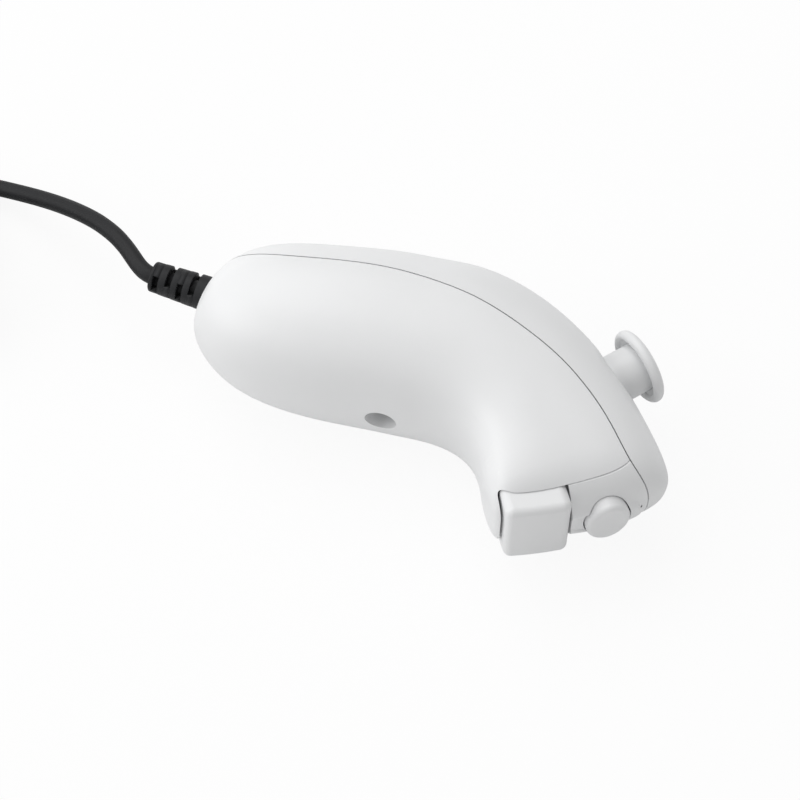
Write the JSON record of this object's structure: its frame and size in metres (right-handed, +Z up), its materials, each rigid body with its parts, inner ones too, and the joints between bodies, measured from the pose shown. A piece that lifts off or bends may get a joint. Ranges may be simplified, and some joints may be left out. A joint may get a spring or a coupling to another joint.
{
  "type": "motion controller wand",
  "caption": "Hand-held game controller with a thumb stick, a round button, a trigger, and a thin cord that ends in a latching plug.",
  "frame": {"origin": "middle of the controller's resting outline, in the plane it lies on, without its free cord", "axes": "+X along the body from the cord's boot to the thumb stick's end, +Y to the thumb's side, +Z up, which is the controller's right side because it lies on its left side"},
  "size_m": [0.2319, 0.0689, 0.0382],
  "materials": {
    "white_plastic": "fine satin texture",
    "button_plastic": "smooth satin",
    "stick_plastic": "smooth satin",
    "cord_rubber": "soft matte",
    "plug_plastic": "fine satin texture",
    "insert_plastic": "smooth satin",
    "inner_plastic": "moulded satin",
    "white_nylon": "moulded satin",
    "board_green": "solder mask",
    "chip_black": "moulded epoxy",
    "dome_rubber": "silicone",
    "steel": "plain",
    "contact_metal": "plated"
  },
  "bodies": {
    "handle": {"lower_shell": "white_plastic", "top_cover": "white_plastic", "front_bezel": "white_plastic", "case_screw": "steel", "trigger_pin": "steel", "trigger_pad": "dome_rubber", "button_pad": "dome_rubber", "button_board": "board_green", "stick_housing": "inner_plastic", "side_sensor": "inner_plastic", "front_sensor": "inner_plastic", "stick_board": "board_green", "stick_screws": "steel", "main_board": "board_green", "main_screws": "steel", "control_chip": "chip_black", "motion_chip": "chip_black", "cable_socket": "white_nylon", "cable_plug": "white_nylon", "inner_lead": "cord_rubber", "cord_boot": "cord_rubber", "cord_lead": "cord_rubber", "cord_coil": "cord_rubber", "cord_tail": "cord_rubber", "plug_boot": "cord_rubber", "plug_upper": "plug_plastic", "plug_lower": "plug_plastic", "plug_insert": "insert_plastic", "plug_contacts": "contact_metal"},
    "button": {"c_button": "button_plastic"},
    "trigger": {"z_trigger": "button_plastic"},
    "yoke": {"stick_yoke": "white_nylon"},
    "stick": {"stick_cap": "stick_plastic", "stick_shaft": "steel", "stick_pin": "steel"},
    "arch": {"stick_arch": "white_nylon"},
    "left_latch": {"latch_left": "plug_plastic"},
    "right_latch": {"latch_right": "plug_plastic"}
  },
  "joints": [
    {"name": "button_press", "type": "slide", "parent": "handle", "child": "button", "axis": [-0.5785, 0.8157, 0], "range_m": [0, 0.001], "stiffness_N_per_m": 1500, "deforming": ["button_pad"]},
    {"name": "trigger_pull", "type": "hinge", "parent": "handle", "child": "trigger", "pos_m": [0.04315, -0.01562, 0.0191], "axis": [0, 0, -1], "range_deg": [0, 5.5], "stiffness_Nm_per_rad": 0.3, "deforming": ["trigger_pad"]},
    {"name": "stick_sideways", "type": "hinge", "parent": "handle", "child": "yoke", "pos_m": [0.03764, 0.00714, 0.0191], "axis": [0, 0, 1], "range_deg": [-12, 12], "stiffness_Nm_per_rad": 0.05},
    {"name": "stick_forward", "type": "hinge", "parent": "yoke", "child": "stick", "pos_m": [0.03764, 0.00714, 0.0191], "axis": [0.7771, -0.6294, 0], "range_deg": [-12, 12], "stiffness_Nm_per_rad": 0.05},
    {"name": "arch_follow", "type": "hinge", "parent": "handle", "child": "arch", "pos_m": [0.03764, 0.00714, 0.0191], "axis": [0.7771, -0.6294, 0], "range_deg": [-14, 14]},
    {"name": "left_latch_press", "type": "slide", "parent": "handle", "child": "left_latch", "axis": [0.1735, -0.9848, 0], "range_m": [0, 0.001], "stiffness_N_per_m": 800},
    {"name": "right_latch_press", "type": "slide", "parent": "handle", "child": "right_latch", "axis": [-0.1735, 0.9848, 0], "range_m": [0, 0.001], "stiffness_N_per_m": 800}
  ],
  "couplings": [
    {"joint": "arch_follow", "follows": "stick_forward", "ratio": 1}
  ]
}
